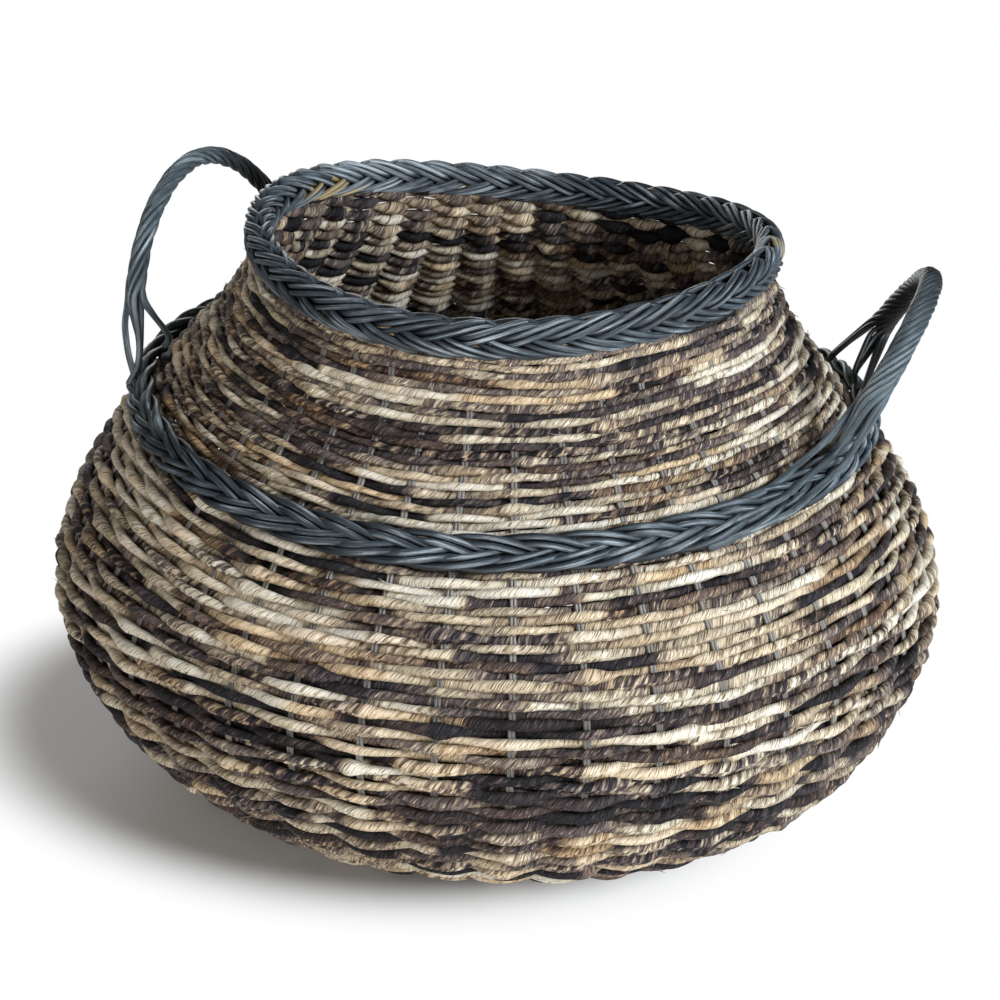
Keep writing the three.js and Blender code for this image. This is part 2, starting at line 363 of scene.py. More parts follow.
def twisted_place(tree, width):
    """Place across the slanting fibres of a twisted cord, counted in lines of a width, and round it"""
    place = node(tree, "ShaderNodeUVMap", uv_map="along").outputs["UV"]
    parts = node(tree, "ShaderNodeSeparateXYZ", {"Vector": place}).outputs
    slant = math_node(tree, "MULTIPLY", parts["Y"], FIBRES_ROUND / width)
    across = math_node(tree, "MULTIPLY_ADD", parts["X"], 1 / (FIBRE_PITCH * width * MM), slant)
    return across, parts["Y"]


def twisted_noise(tree, width, detail=2.0):
    """Noise stretched along the fibres, a number of fibres wide"""
    across, around = twisted_place(tree, width)
    lengthwise = math_node(tree, "MULTIPLY", around, 3.0 / width)
    place = node(tree, "ShaderNodeCombineXYZ", {"X": across, "Y": lengthwise}).outputs["Vector"]
    return noise(tree, place, detail)


def fibre_ridges(tree):
    """Ridges and grooves of the twisted fibres, from 0 in a groove to 1 on a ridge"""
    across, _ = twisted_place(tree, 1.0)
    wobble = twisted_noise(tree, 2.5)
    lines = math_node(tree, "MULTIPLY", across, TURN)
    phase = math_node(tree, "MULTIPLY_ADD", wobble, FIBRE_WOBBLE, lines)
    return math_node(tree, "MULTIPLY_ADD", math_node(tree, "SINE", phase), 0.5, 0.5)


def grey_of(tree, value):
    """Grey of a brightness"""
    parts = {"Red": value, "Green": value, "Blue": value}
    return node(tree, "ShaderNodeCombineColor", parts).outputs["Color"]


def spread_range(tree, value, low, high, to_low=0.0, to_high=1.0):
    """Stretches a narrow range of values"""
    ends = {"Value": value, "From Min": low, "From Max": high, "To Min": to_low, "To Max": to_high}
    return node(tree, "ShaderNodeMapRange", ends).outputs["Result"]


# Colours of the dry leaf from the darkest tone to the palest, and the tan that a warm leaf takes on
LEAF_TONES = ((0.0, "#100F13"), (0.17, "#2A272C"), (0.34, "#514748"), (0.5, "#7F7068"),
              (0.66, "#C0B096"), (0.82, "#E7DCC5"), (1.0, "#F7F0E2"))
WARM_LEAF = "#F0C78E"
SLASH_WIDTH = 3.2  # fibres that a pale or dark slash takes up
HAIR_WIDTH = 0.8
HAIR_PALENESS = 0.22
FIBRE_RELIEF = 0.0007  # metres
CORD_ROUGHNESS = 0.7
CORD_GLOSS = 0.3


def leaf_cord_finish():
    """Dry twisted leaf: tone and warmth change along the cord, with slanting fibres, pale slashes and
    painted shade on the sides where the rows press together and toward the ends of the floats"""
    finish, tree, shader = new_finish("leaf_cord")
    leaf = node(tree, "ShaderNodeAttribute", attribute_name="leaf").outputs["Color"]
    tone, warmth, streak = node(tree, "ShaderNodeSeparateColor", {"Color": leaf}).outputs
    ridge = fibre_ridges(tree)
    strand = twisted_noise(tree, 1.0, 4.0)
    slash = spread_range(tree, twisted_noise(tree, SLASH_WIDTH), 0.4, 0.6, -0.5, 0.5)
    slash_step = math_node(tree, "MULTIPLY", slash, streak)
    strand_step = spread_range(tree, strand, 0.3, 0.7, -0.16, 0.14)
    hair = twisted_noise(tree, HAIR_WIDTH, 3.0)
    hair_step = spread_range(tree, hair, 0.59, 0.67, 0.0, HAIR_PALENESS)
    grain_step = math_node(tree, "ADD", strand_step, hair_step)
    shifted = math_node(tree, "ADD", math_node(tree, "ADD", tone, slash_step), grain_step)
    plain = ramp(tree, shifted, LEAF_TONES)
    warm = blend(tree, "MULTIPLY", warmth, plain, colour(WARM_LEAF))
    worn = math_node(tree, "MULTIPLY_ADD", strand, 1.1, math_node(tree, "MULTIPLY", ridge, 0.4))
    groove = spread_range(tree, worn, 0.44, 0.68, 0.3, 1.0)
    # painted shade: the cord's colour is darkened on its sides and toward the ends of its floats
    crown_shade = node(tree, "ShaderNodeAttribute", attribute_name="crown_shade").outputs["Fac"]
    groove = math_node(tree, "MULTIPLY", groove, spread_range(tree, crown_shade, 0.32, 0.88, 0.04, 1.0))
    shaded = blend(tree, "MULTIPLY", 1.0, warm, grey_of(tree, groove))
    tree.links.new(shaded, shader.inputs["Base Color"])
    bump = node(tree, "ShaderNodeBump", {"Height": worn, "Strength": 0.9, "Distance": FIBRE_RELIEF})
    tree.links.new(bump.outputs["Normal"], shader.inputs["Normal"])
    shader.inputs["Roughness"].default_value = CORD_ROUGHNESS
    shader.inputs["Specular IOR Level"].default_value = CORD_GLOSS
    return finish


BARE_WOOD = "#C2AC80"
GRAIN_ALONG = 22.0  # grain marks in a metre of rod
GRAIN_AROUND = 6.0
STAIN_PATCHES = 70  # in a metre
# How much patches, grain, and rubbing together with painted light and shade each lighten the stain
PATCH_SHARE = 0.35
GRAIN_SHARE = 1.6
RUB_AND_SHADE_SHARE = 0.45
GRAIN_RELIEF = 0.0004  # metres
ROD_ROUGHNESS = 0.48
ROD_GLOSS = 0.45


def stained_rod_finish(name, shadow, body, light):
    """Dark stain brushed on peeled rods: fine lengthwise grain, rubbed pale in places, painted light on the
    crowns, painted shade in the hollows and on the sides, and bare wood where the stain has worn through"""
    finish, tree, shader = new_finish(name)
    place = node(tree, "ShaderNodeUVMap", uv_map="along").outputs["UV"]
    parts = node(tree, "ShaderNodeSeparateXYZ", {"Vector": place}).outputs
    along = math_node(tree, "MULTIPLY", parts["X"], GRAIN_ALONG)
    around = math_node(tree, "MULTIPLY", parts["Y"], GRAIN_AROUND)
    where = node(tree, "ShaderNodeTexCoord").outputs["Object"]
    scaled = node(tree, "ShaderNodeMapping", {"Vector": where, "Scale": [STAIN_PATCHES] * 3})
    patch = noise(tree, scaled.outputs[0])
    grain_at = node(tree, "ShaderNodeCombineXYZ", {"X": along, "Y": around, "Z": patch}).outputs["Vector"]
    grain = noise(tree, grain_at, 4.0, 0.7)
    wear_and_shade = node(tree, "ShaderNodeAttribute", attribute_name="wear_and_shade").outputs["Color"]
    rub_and_shade, bare, _ = node(tree, "ShaderNodeSeparateColor", {"Color": wear_and_shade}).outputs
    mixed = math_node(tree, "MULTIPLY", grain, GRAIN_SHARE)
    mixed = math_node(tree, "MULTIPLY_ADD", patch, PATCH_SHARE, mixed)
    # rubbing, painted light on the crowns and painted shade in the hollows and on the far halves of handles
    mixed = math_node(tree, "MULTIPLY_ADD", rub_and_shade, RUB_AND_SHADE_SHARE, mixed)
    level = spread_range(tree, mixed, 1.0, 1.85)
    stain = ramp(tree, level, ((0.0, shadow), (0.5, body), (1.0, light)))
    share = spread_range(tree, math_node(tree, "MULTIPLY_ADD", grain, 0.5, bare), 0.6, 0.85)
    wood = blend(tree, "MIX", share, stain, colour(BARE_WOOD))
    # painted shade: the sides of each rod, against its neighbours, are darkened
    crown_shade = node(tree, "ShaderNodeAttribute", attribute_name="crown_shade").outputs["Fac"]
    side = spread_range(tree, crown_shade, 0.55, 1.0, 0.03, 1.0)
    tree.links.new(blend(tree, "MULTIPLY", 1.0, wood, grey_of(tree, side)), shader.inputs["Base Color"])
    bump = node(tree, "ShaderNodeBump", {"Height": grain, "Strength": 0.6, "Distance": GRAIN_RELIEF})
    tree.links.new(bump.outputs["Normal"], shader.inputs["Normal"])
    shader.inputs["Roughness"].default_value = ROD_ROUGHNESS
    shader.inputs["Specular IOR Level"].default_value = ROD_GLOSS
    return finish


cord_look = leaf_cord_finish()
stake_look = stained_rod_finish("grey_stake", "#3A3836", "#7A7672", "#BDB8B1")
plait_look = stained_rod_finish("charcoal_plait", "#07090B", "#434E57", "#CBD6DE")
handle_look = stained_rod_finish("charcoal_handle", "#090C0E", "#5A6972", "#D6E1E7")


# Leaf cord weave

def row_turns():
    """Turns that the spiral has made at each place along the wall"""
    pitch = np.interp(WALL_HEIGHT, PITCH_HEIGHTS, PITCHES)
    steps = np.diff(WALL_ALONG) / ((pitch[1:] + pitch[:-1]) / 2)
    return np.concatenate([[0], np.cumsum(steps)])


# Slow waves of the rows: height, waves in a round, distance up the wall that shifts them by a radian, start
ROW_WAVES = ((0.9, 3, 41, 0), (0.7, 5, -29, 2), (0.6, 8, 23, 4))


def wander(angle, along):
    """Slow rise and fall of the rows, shared by neighbouring rows"""
    waves = [height * np.sin(count * angle + along / shift + start)
             for height, count, shift, start in ROW_WAVES]
    return sum(waves)


# Usual tone of the leaves at heights up the wall, and how far single leaves stray from it
ZONE_HEIGHTS = (0, 25, 55, 95, 130, 175, 222, 250, 275, 312)
ZONE_TONES = (0.47, 0.53, 0.44, 0.4, 0.5, 0.65, 0.67, 0.61, 0.56, 0.52)
LEAF_TONE_SPREAD = 0.27
LEAF_TONE_CHANGE = 0.12
LEAF_TONE_DRIFT = 40
LEAF_TONE_LIMITS = (0.1, 0.98)
# Most leaves are cool and even; a few are warm or streaked
MOST_WARMTH = 0.78
WARMTH_ODDS = (0.8, 2.6)
MOST_STREAK = 0.7
STREAK_ODDS = (1.0, 2.2)
LEAF_LENGTHS = (22, 115)
LEAF_JOIN = 8
KNOT_SHARE = 0.45  # of the joins
KNOT_SWELLS = (0.2, 0.7)
KNOT_LENGTH = 6


def leaf_course(run, along):
    """Tone, warmth, streakiness and swelling along the cord: each leaf has its own and eases into the
    next, and some joins are knotted"""
    count = int(run[-1] / LEAF_LENGTHS[0]) + 3
    ends = np.cumsum(rng.uniform(*LEAF_LENGTHS, count))
    tones = rng.normal(0, LEAF_TONE_SPREAD, count)
    warmths = MOST_WARMTH * rng.beta(*WARMTH_ODDS, count)
    streaks = MOST_STREAK * rng.beta(*STREAK_ODDS, count)
    knots = np.where(rng.random(count) < KNOT_SHARE, rng.uniform(*KNOT_SWELLS, count), 0)
    leaf = np.searchsorted(ends, run)
    ease = np.clip(1 - (ends[leaf] - run) / LEAF_JOIN, 0, 1)
    tone, warmth, streak = [values[leaf] * (1 - ease) + values[leaf + 1] * ease
                            for values in (tones, warmths, streaks)]
    zone = np.interp(np.interp(along, WALL_ALONG, WALL_HEIGHT), ZONE_HEIGHTS, ZONE_TONES)
    swell = knots[leaf] * np.exp(-((ends[leaf] - run) / KNOT_LENGTH) ** 2)
    swell = swell + knots[leaf - 1] * np.exp(-((run - ends[leaf - 1]) / KNOT_LENGTH) ** 2)
    tone = np.clip(zone + tone + LEAF_TONE_CHANGE * drift(run, LEAF_TONE_DRIFT), *LEAF_TONE_LIMITS)
    return {"tone": tone, "warmth": warmth, "streak": streak, "swell": swell}


def cord_line(turns_from, turns_to, turns, over_stakes):
    """The cord from one turn of its spiral to another, over a number of stakes and under as many"""
    steps = int((turns_to - turns_from) * STAKE_COUNT * STEPS_PER_GAP / over_stakes)
    turned = np.linspace(turns_from, turns_to, steps)
    along = np.interp(turned, turns, WALL_ALONG)
    angle = turned * TURN
    wave = np.cos((angle - STAKE_START) * STAKE_COUNT / 2 / over_stakes)
    wave = np.sign(wave) * np.abs(wave) ** (1 / over_stakes)
    up_share = np.clip((along - along_at(BASE_TOP)) / BASE_EASE, 0, 1)
    run = lengths_along(spread(np.interp(along, WALL_ALONG, WALL_RADIUS), angle, along))
    moved = along + (wander(angle, along) + ROW_STRAY * drift(run, ROW_STRAY_DRIFT)) * up_share
    height = np.interp(along, WALL_ALONG, WALL_HEIGHT)
    pitch = np.interp(height, PITCH_HEIGHTS, PITCHES)
    swing = np.interp(height, SWING_HEIGHTS, SWINGS) * pitch
    swing = swing * (1 + SWING_UNEVENNESS * drift(run, SWING_DRIFT))
    outside = np.clip(wave, 0, 1)
    inside = np.clip(-wave, 0, 1)
    full_inside = np.interp(height, INSIDE_HEIGHTS, CORD_INSIDES)
    between = np.interp(height, BETWEEN_HEIGHTS, CORD_BETWEENS)
    fuller = (CORD_OUTSIDE - between) * outside ** 2 + (full_inside - between) * inside
    radius = (between + fuller * up_share) * pitch * np.interp(height, NECK_HEIGHTS, (1, NECK_FULLER))
    further = 1 + (INSIDE_FURTHER - 1) * up_share
    depth = swing * (outside - inside * further) - STAKE_DEPTH - BASE_LIFT * (1 - up_share)
    points, out, up = off_wall(np.clip(moved, 0, WALL_LENGTH), angle, depth)
    leaf = leaf_course(run, along)
    swell = sum(share * drift(run, length) for share, length in SWELLS) + leaf["swell"]
    swell = swell * (BASE_SWELL + (1 - BASE_SWELL) * up_share)
    # painted shade on the inner floats, darkening the inside of the basket and the gaps between rows
    leaf["tone"] = np.clip(leaf["tone"] - INSIDE_SHADE * inside, 0, 1)
    # painted shade toward the ends of each float, where the cord passes behind a stake
    shade = BETWEEN_SHADE + (1 - BETWEEN_SHADE) * np.abs(wave)
    return {"points": points, "radius": radius * (1 + swell), "tilt": CORD_TILT, "out": out, "up": up,
            "run": run, "leaf": leaf, "shade": shade}


LUMP = 0.12  # share by which folded leaf swells or sinks one side of the cord
LUMP_LENGTH = 6


def cord_mesh(name, line):
    """Cord with small lumps of folded leaf"""
    mesh = tubes(name, [line], CORD_SIDES)
    count = len(line["points"])
    place = np.empty(count * CORD_SIDES * 3)
    mesh.vertices.foreach_get("co", place)
    place = place.reshape(count, CORD_SIDES, 3)
    middle = line["points"][:, None] * MM
    lump = 1 + LUMP * np.stack([drift(line["run"], LUMP_LENGTH) for _ in range(CORD_SIDES)], axis=1)
    mesh.vertices.foreach_set("co", (middle + (place - middle) * lump[:, :, None]).ravel())
    tint_crown_shade(mesh, [line], CORD_SIDES)
    tint(mesh, "leaf", [np.repeat(line["leaf"][key], CORD_SIDES) for key in ("tone", "warmth", "streak")])
    return mesh


# Loose leaf ends: places along one, its radius there, its length and how far it bends away
TIP_SHARES = np.array([0, 0.4, 0.75, 1])
TIP_RADII = np.array([0.6, 0.5, 0.3, 0.08])
TIP_THINNEST = 0.4  # share of those radii
TIP_LENGTHS = (4, 12)
TIP_LIFTS = (0.3, 2.2)
TIP_SIDE_BEND = 2.2
# Where on the cord's skin an end starts: how far out and how far to either side, as shares of the radius
TIP_FROM_OUT = 0.75
TIP_FROM_SIDE = 0.6
TIP_PALER = 0.35
TIP_STREAK = 0.2
TIP_SIDES = 4


def leaf_tip(line, i):
    """A loose leaf end that lifts off the cord"""
    ahead = unit(line["points"][i + 2] - line["points"][i]) * rng.choice((-1, 1))
    out = line["out"][i]
    up = line["up"][i]
    skin = TIP_FROM_OUT * out + rng.uniform(-TIP_FROM_SIDE, TIP_FROM_SIDE) * up
    start = line["points"][i] + line["radius"][i] * skin
    share = TIP_SHARES[:, None]
    bend = out * rng.uniform(*TIP_LIFTS) + up * rng.uniform(-TIP_SIDE_BEND, TIP_SIDE_BEND)
    points = start + ahead * rng.uniform(*TIP_LENGTHS) * share + bend * share ** 2
    return {"points": points, "radius": TIP_RADII * rng.uniform(TIP_THINNEST, 1.0)}


WEAVE_PIECES = 6
TIPS_PER_PIECE = 160  # above the first piece, which is the foot of the wall
CORD_FIRST_TURN = 0.5
CORD_LAST_TURN = 0.1  # before the end of the wall


def make_weave():
    """The long cord from the heart to the mouth, in pieces of a few rows, and its loose leaf ends"""
    turns = row_turns()
    split = np.interp(BASE_SPLIT_RADIUS, WALL_RADIUS[WALL_HEIGHT < 1], turns[WALL_HEIGHT < 1])
    both = ("outer_weave", "inner_weave")
    base = cord_line(CORD_FIRST_TURN, split, turns, BASE_GROUP)
    finish_piece(cord_mesh("base_weave", base), cord_look, both)
    cuts = np.linspace(split, turns[-1] - CORD_LAST_TURN, WEAVE_PIECES + 1)
    tips = []
    tip_tones = []
    for i in range(WEAVE_PIECES):
        line = cord_line(cuts[i], cuts[i + 1], turns, 1)
        finish_piece(cord_mesh(f"wall_weave_{i + 1}", line), cord_look, both)
        for place in rng.integers(2, len(line["points"]) - 2, TIPS_PER_PIECE if i else 0):
            tips.append(leaf_tip(line, place))
            tip_tones.append(np.clip(line["leaf"]["tone"][place] + rng.uniform(0, TIP_PALER), 0, 1))
    mesh = tubes("leaf_ends", tips, TIP_SIDES)
    tint(mesh, "leaf", [np.repeat(tip_tones, TIP_SIDES * len(tips[0]["points"])), 0.0, TIP_STREAK])
    tint(mesh, "crown_shade", [1.0])
    finish_piece(mesh, cord_look, both)


# Stakes and heart

STAKE_POINTS = 90
STAKE_SIDES = 6
HEART_STICKS = 10  # each way
HEART_STICK_RADIUS = 1.9
HEART_WAVE = 1.9  # how far a stick passes over and under the others
HEART_OVERHANG = 4
HEART_POINTS = 40


def make_stakes():
    """Pairs of thin rods that the cord runs round, from the heart to the mouth"""
    along = np.linspace(0, WALL_LENGTH, STAKE_POINTS)
    courses = []
    for i in range(STAKE_COUNT):
        angle = STAKE_START + i * TURN / STAKE_COUNT
        for side in (-1, 1):
            points = off_wall(along, np.full(len(along), angle), -STAKE_DEPTH)[0]
            points += side * STAKE_ROD_SPREAD * np.array([-math.sin(angle), math.cos(angle), 0])
            courses.append({"points": points, "radius": STAKE_ROD_RADIUS})
    names = [f"stake_{i + 1:02d}" for i in range(STAKE_COUNT)]
    mesh = tubes("stakes", courses, STAKE_SIDES, "MINIMUM")
    tint(mesh, "wear_and_shade", [1.0, 0.0])
    tint(mesh, "crown_shade", [1.0])
    finish_piece(mesh, stake_look, names)


def make_heart():
    """Bottom sticks that cross at the middle of the base"""
    courses = []
    for across in range(2):
        for i in range(HEART_STICKS):
            side = (i + 0.5 - HEART_STICKS / 2) * 2 * HEART_RADIUS / HEART_STICKS
            half = math.sqrt((HEART_RADIUS + HEART_OVERHANG) ** 2 - side ** 2)
            run = np.linspace(-half, half, HEART_POINTS)
            beat = run / HEART_RADIUS * math.pi * 2 + i * math.pi
            wave = HEART_WAVE * np.sin(beat) * (1 - 2 * across)
            points = np.stack([run, np.full(HEART_POINTS, side), STAKE_DEPTH + wave], axis=1)
            if across:
                points = points[:, [1, 0, 2]]
            courses.append({"points": points, "radius": HEART_STICK_RADIUS})
    mesh = tubes("base_sticks", courses, STAKE_SIDES)
    tint(mesh, "wear_and_shade", [1.0, 0.0])
    tint(mesh, "crown_shade", [1.0])
    finish_piece(mesh, stake_look, ["base_heart"])


# Rim plait

ROD_SIDES = 8
ROD_UNEVENNESS = 0.1  # share by which the rods of the rim and the band differ in thickness
SOLID_STRANDS = 3  # strands of a plait or a rope among the solids of the frame


def strand_names(name):
    """Names of the solids that a plait or a rope stands for"""
    return [f"{name}_strand_{i + 1}" for i in range(SOLID_STRANDS)]


def finish_rods(name, courses, look, nodes):
    """One piece of stained rods, rubbed, given painted light and shade, and bare as each course says"""
    mesh = tubes(name, courses, ROD_SIDES, "MINIMUM")
    worn = [np.concatenate([course[key] for course in courses]) for key in ("rub_and_shade", "bare")]
    tint(mesh, "wear_and_shade", [np.repeat(values, ROD_SIDES) for values in worn])
    tint_crown_shade(mesh, courses, ROD_SIDES)
    finish_piece(mesh, look, nodes)


RIM_RADIUS = 142.8
RIM_HEIGHT = 321.0
RIM_HALF_THICKNESS = 4.2
RIM_HALF_HEIGHT = 6.5
RIM_ROD_RADIUS = 1.6
RIM_ROD_SPREAD = 1.8
RIM_STRANDS = 7  # in each of the two directions
RIM_ROUNDS = 6  # times that a strand winds round the rim
RIM_WEAVE_DEPTH = 2.9
RIM_WEAVE_CRISPNESS = 2.2  # how quickly a strand passes from over to under
RIM_STEPS = 432
# Where hands pull at the rim and rub it pale: angle, half width in radians and depth of wear
RIM_WORN_AT = math.radians(135)
RIM_WORN_WIDTH = 0.7
RIM_WORN_DEPTH = 0.38
# Places where the stain is missing: angle, half width, inner or outer face and how far up that face
RIM_BARE = ((math.radians(162), 0.28, -1, 0.2), (math.radians(7), 0.09, 1, 0.9))
RIM_BARE_FACE = 0.3  # a rod counts as on a face when it faces that way by this share
RIM_BARENESS = (0.3, 0.8)


def rim_course(direction, phase, side):
    """One rod of a strand that winds round the rim, over the strands that wind the other way on two
    of the rim's four faces and under them on the other two"""
    angle = np.arange(RIM_STEPS) * TURN / RIM_STEPS
    turn = direction * RIM_ROUNDS * angle + phase
    face = np.cos(2 * (turn - math.pi / 4)) * direction
    lift = RIM_WEAVE_DEPTH * np.tanh(RIM_WEAVE_CRISPNESS * face)
    normal = unit(np.stack([np.cos(turn) / RIM_HALF_THICKNESS, np.sin(turn) / RIM_HALF_HEIGHT], axis=1))
    radius = RIM_RADIUS + RIM_HALF_THICKNESS * np.cos(turn) + lift * normal[:, 0]
    radius = radius + unevenness(RIM_HEIGHT, angle)
    height = RIM_HEIGHT + RIM_HALF_HEIGHT * np.sin(turn) + lift * normal[:, 1]
    points = spread(radius, angle, height + saddle_lift(RIM_HEIGHT, angle))
    ahead = unit(np.roll(points, -1, axis=0) - np.roll(points, 1, axis=0))
    out = spread(normal[:, 0], angle, normal[:, 1])
    across = unit(np.cross(out, ahead))
    worn = RIM_WORN_DEPTH * np.exp(-((angle - RIM_WORN_AT) / RIM_WORN_WIDTH) ** 2)
    bare = np.zeros(RIM_STEPS)
    for place, half_width, side_shown, top in RIM_BARE:
        shown = (normal[:, 0] * side_shown > RIM_BARE_FACE) & (normal[:, 1] < top)
        bare += np.exp(-((angle - place) / half_width) ** 2) * shown
    # painted shade where a strand passes under the other set and painted light where it passes over, plus the
    # rubbed stretch
    return {"points": points + across * side * RIM_ROD_SPREAD, "out": out, "closed": True,
            "radius": RIM_ROD_RADIUS * (1 + ROD_UNEVENNESS * rng.uniform(-1, 1)),
            "rub_and_shade": (lift / RIM_WEAVE_DEPTH + 1) / 2 + worn, "bare": bare * rng.uniform(*RIM_BARENESS)}


def make_rim():
    """Two sets of strands, of two rods each, that wind round the rim in opposite directions"""
    courses = []
    for direction in (-1, 1):
        for i in range(RIM_STRANDS):
            phase = (i + (0.5 if direction > 0 else 0)) * TURN / RIM_STRANDS
            for side in (-1, 1):
                courses.append(rim_course(direction, phase, side))
    finish_rods("rim_plait", courses, plait_look, strand_names("rim"))


# Shoulder band

BAND_STRANDS = 5
BAND_PERIODS = 10  # times that a strand crosses the band and back in one round
BAND_HALF_WIDTH = 6.2
BAND_WEAVE_DEPTH = 2.7
BAND_ROD_RADIUS = 1.9
BAND_ROD_SPREAD = 2.05
BAND_STAND_OFF = 4.2
BAND_STEPS = 600


def make_band():
    """Flat plait on the wall: each strand runs in from an edge to the middle, then under to the other"""
    angle = np.arange(BAND_STEPS) * TURN / BAND_STEPS
    middle = np.full(BAND_STEPS, along_at(BAND_HEIGHT))
    _, out, up = off_wall(middle, angle, 0)
    courses = []
    for i in range(BAND_STRANDS):
        beat = BAND_PERIODS * angle + i * TURN / BAND_STRANDS
        points, _, _ = off_wall(middle, angle, BAND_STAND_OFF - BAND_WEAVE_DEPTH * np.sin(2 * beat))
        points = points + up * (BAND_HALF_WIDTH * np.sin(beat))[:, None]
        ahead = unit(np.roll(points, -1, axis=0) - np.roll(points, 1, axis=0))
        side_step = unit(np.cross(out, ahead))
        for side in (-1, 1):
            radius = BAND_ROD_RADIUS * (1 + ROD_UNEVENNESS * rng.uniform(-1, 1))
            # painted light where a strand crosses over and painted shade where it dips under
            courses.append({"points": points + side_step * side * BAND_ROD_SPREAD, "radius": radius,
                            "out": out, "closed": True, "rub_and_shade": (1 - np.sin(2 * beat)) / 2,
                            "bare": np.zeros(BAND_STEPS)})
    finish_rods("shoulder_band", courses, plait_look, strand_names("band"))


# Handles

BAND_WIDTH = 20  # between the band's edges on the wall, where the feet of the handles are set
HANDLE_STAND_OFF = 12  # middle of the rope to the wall at the feet
HANDLE_FOOT_DROP = 2.5  # foot below the top edge of the band
HANDLE_SPLAY = 0.15  # share by which the rope opens at the feet
HANDLE_SPLAY_POWER = 6  # how late it opens
HANDLE_FREE_SHARE = 0.12  # share of the arch at each foot that is left to the legs
HANDLE_ROD_UNEVENNESS = 0.12
HANDLE_LEG_STRAY = 2  # how far single rods stray along the wall from their leg
HANDLE_FAR_SHADE = -0.2  # painted shade: the far half of each handle is darkened, down to this value
HANDLE_BARENESS = 0.62
HANDLE_BARE_OVER = 0.35  # the higher, the fewer bare places
HANDLE_BARE_DRIFT = 40
ARCH_POINTS = 90
HANDLE_POINTS = 200
HANDLE_SMOOTHINGS = 12

# Legs of a handle at its near and far foot, in the order that the rods face a given way: how many rods,
# then places along the wall away from the loop, above the band's top edge and off the wall
RIGHT_HANDLE = {"middle": math.radians(6), "half_span": 72, "rise": 80, "reach": 22, "fullness": 1.8,
                "turns": 2.9, "rods": 11, "bundle": 5.4, "rod": 1.65, "facing": (45, 135),
                "near": ((3, (10, -9, 11), (60, -14, 9), (110, -16, 5)),
                         (5, (10, -3, 12), (65, -8, 10), (120, -11, 5)),
                         (3, (12, 3, 9), (65, -2, 7), (115, -6, 2))),
                "far": ((3, (-50, -1, 8), (-54, -8, 8)),
                        (4, (-30, 2, 5), (-36, -4, 4)),
                        (4, (-2, 8, 4), (8, 4, 2)))}
LEFT_HANDLE = {"middle": math.radians(174), "half_span": 97, "rise": 98, "reach": -9, "fullness": 1.85,
               "turns": 3.2, "rods": 7, "bundle": 3.9, "rod": 1.75, "facing": (90, 90),
               "near": ((1, (0, 5, 31), (2, -4, 18), (6, -8, 9)),
                        (4, (0, 2, 16), (4, -5, 9), (10, -12, 8)),
                        (2, (-10, 10, 4), (-16, 4, 3))),
               "far": ((3, (4, -4, 8), (10, -12, 8)),
                       (2, (-12, 9, 4), (-20, 5, 3)),
                       (2, (10, 8, 5), (24, 4, 3)))}


def leg_of(legs, rank):
    """Places of the leg that a rod belongs to, by its rank"""
    for count, *places in legs:
        if rank < count:
            return np.array(places, float)
        rank -= count
    raise ValueError("a handle has more rods than its legs hold")


def rank_at(rods, rod, turns, facing):
    """Rank of a rod by how much it faces a given way, where the bundle has made a number of turns"""
    faced = np.cos(TURN * (1 / 4 + np.arange(rods) / rods + turns) - math.radians(facing))
    return int(np.argsort(np.argsort(-faced))[rod])


def handle_course(loop, near_side, rod):
    """One rod of a twisted handle, from a leg on the wall, over the arch, to the other leg"""
    up_z = on_wall(along_at(BAND_HEIGHT))[3]
    band_top = BAND_HEIGHT + up_z * BAND_WIDTH / 2
    foot_along = along_at(band_top - HANDLE_FOOT_DROP)
    radius, height, _, _ = on_wall(foot_along)
    foot_radius = radius + HANDLE_STAND_OFF
    middle = loop["middle"]
    half_angle = near_side * math.asin(loop["half_span"] / foot_radius)
    near = off_wall(foot_along, middle + half_angle, HANDLE_STAND_OFF)[0]
    far = off_wall(foot_along, middle - half_angle, HANDLE_STAND_OFF)[0]
    top = spread(foot_radius + loop["reach"], middle, height + loop["rise"] + saddle_lift(height, middle))
    centre = (near + far) / 2
    outward = unit(np.cross(near - centre, top - centre)) * near_side
    done = np.linspace(0, 1, ARCH_POINTS)
    turn = math.pi * (HANDLE_FREE_SHARE + (1 - 2 * HANDLE_FREE_SHARE) * done)
    flat = 2 / loop["fullness"]
    side_share = np.sign(np.cos(turn)) * np.abs(np.cos(turn)) ** flat
    rise_share = np.sin(turn) ** flat
    arch = centre + side_share[:, None] * (near - centre) + rise_share[:, None] * (top - centre)
    across = np.cross(outward, unit(np.gradient(arch, axis=0)))
    spin = TURN * (1 / 4 + rod / loop["rods"] + loop["turns"] * done)
    open_by = loop["bundle"] * (1 + HANDLE_SPLAY * np.abs(2 * done - 1) ** HANDLE_SPLAY_POWER)
    arch = arch + (open_by * np.cos(spin))[:, None] * across + (open_by * np.sin(spin))[:, None] * outward
    ends = []
    for side, end, turns, facing in zip((1, -1), ("near", "far"), (0, loop["turns"]), loop["facing"]):
        reach, above, off = leg_of(loop[end], rank_at(loop["rods"], rod, turns, facing)).T
        reach = reach + rng.uniform(-HANDLE_LEG_STRAY, HANDLE_LEG_STRAY)
        angle = middle + side * (half_angle + near_side * reach / foot_radius)
        ends.append(off_wall(along_at(band_top + above), angle, off)[0])
    return smooth_line(np.concatenate([ends[0][::-1], arch, ends[1]]), HANDLE_POINTS)


def smooth_line(points, count):
    """Even points on a smooth line through the given ones"""
    line = np.linspace(0, 1, count)
    place = lengths_along(points)
    place = place / place[-1]
    even = np.stack([np.interp(line, place, points[:, i]) for i in range(3)], axis=1)
    for _ in range(HANDLE_SMOOTHINGS):
        even[1:-1] = (even[:-2] + 2 * even[1:-1] + even[2:]) / 4
    return even


